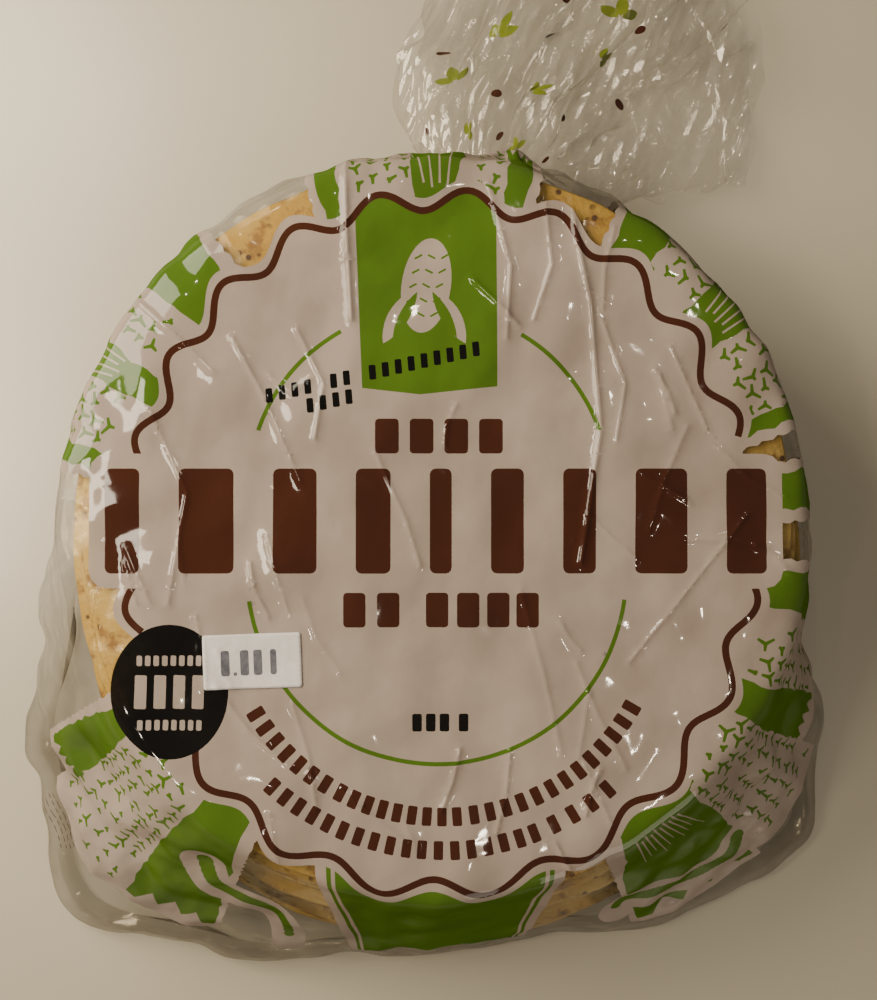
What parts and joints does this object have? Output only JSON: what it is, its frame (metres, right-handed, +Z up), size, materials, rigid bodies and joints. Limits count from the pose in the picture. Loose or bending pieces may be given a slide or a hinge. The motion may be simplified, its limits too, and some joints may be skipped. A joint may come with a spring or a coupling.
{
  "type": "bag of corn tortillas",
  "caption": "Closed clear film bag round a stack of corn tortillas, lying flat, with a printed face, a gathered neck with a loose tail, and a small price label.",
  "frame": {"origin": "middle of the tortilla stack, on the flat underside", "axes": "+Z up, +Y from the bag's foot to its gathered neck"},
  "size_m": [0.1968, 0.2641, 0.06],
  "materials": {
    "bag_film": "glossy clear film, printed",
    "label_paper": "matt white sticker paper"
  },
  "bodies": {
    "root": {"filled_bag": "bag_film", "price_label": "label_paper"}
  },
  "joints": []
}
